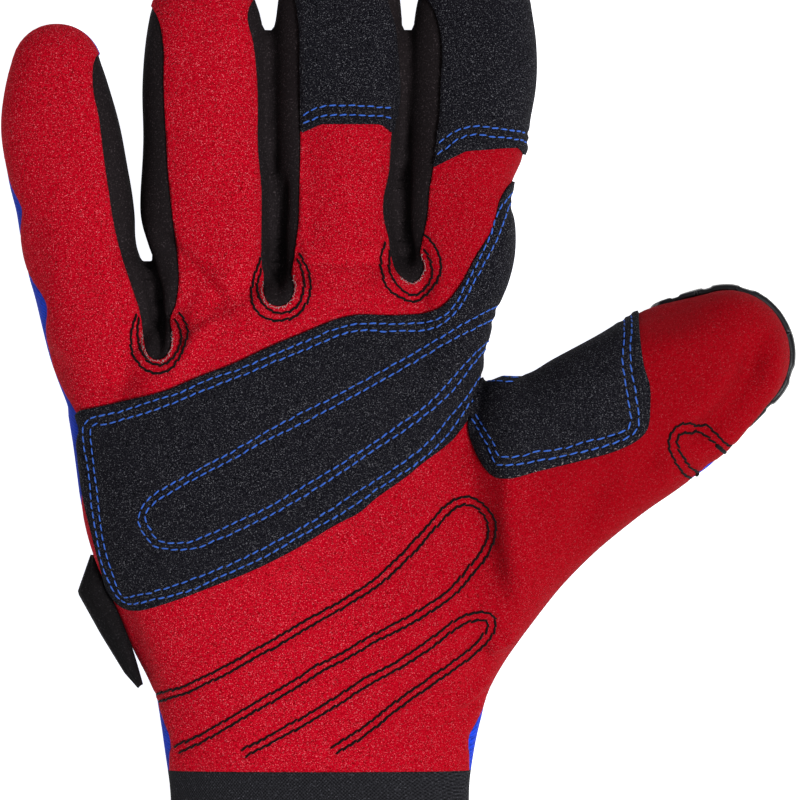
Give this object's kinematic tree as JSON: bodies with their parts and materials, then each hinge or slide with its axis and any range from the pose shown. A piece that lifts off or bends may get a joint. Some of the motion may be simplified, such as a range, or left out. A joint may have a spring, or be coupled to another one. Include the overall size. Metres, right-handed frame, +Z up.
{
  "type": "impact glove",
  "caption": "Right-hand impact work glove lying palm up, with red suede palm, black grip patches, blue knit back and moulded rubber guards.",
  "frame": {"origin": "middle of the glove's length and breadth, on the surface that it lies on", "axes": "+X towards the thumb, +Y towards the fingertips, +Z up, out of the palm"},
  "size_m": [0.1999, 0.2498, 0.0394],
  "materials": {
    "red_suede": "red grainy synthetic suede",
    "black_suede": "black grainy synthetic suede",
    "black_stretch": "soft black stretch cloth",
    "blue_knit": "blue knit",
    "black_rubber": "moulded soft rubber, slightly glossy",
    "cuff_cloth": "black padded wrist cloth",
    "binding_tape": "black woven tape",
    "tag_cloth": "black woven label, bare"
  },
  "bodies": {
    "root": {"palm_panel": "red_suede", "back_panel": "blue_knit", "fourchette_little_ring": "black_stretch", "fourchette_ring_middle": "black_stretch", "fourchette_middle_index": "black_stretch", "palm_patch": "black_suede", "thumb_patch": "black_suede", "middle_tip_patch": "black_suede", "index_tip_patch": "black_suede", "cuff_band": "cuff_cloth", "cuff_binding": "binding_tape", "side_tag": "tag_cloth", "knuckle_guard": "black_rubber", "guard_little": "black_rubber", "guard_ring": "black_rubber", "guard_middle": "black_rubber", "guard_index": "black_rubber", "thumb_guard": "black_rubber"}
  },
  "joints": []
}
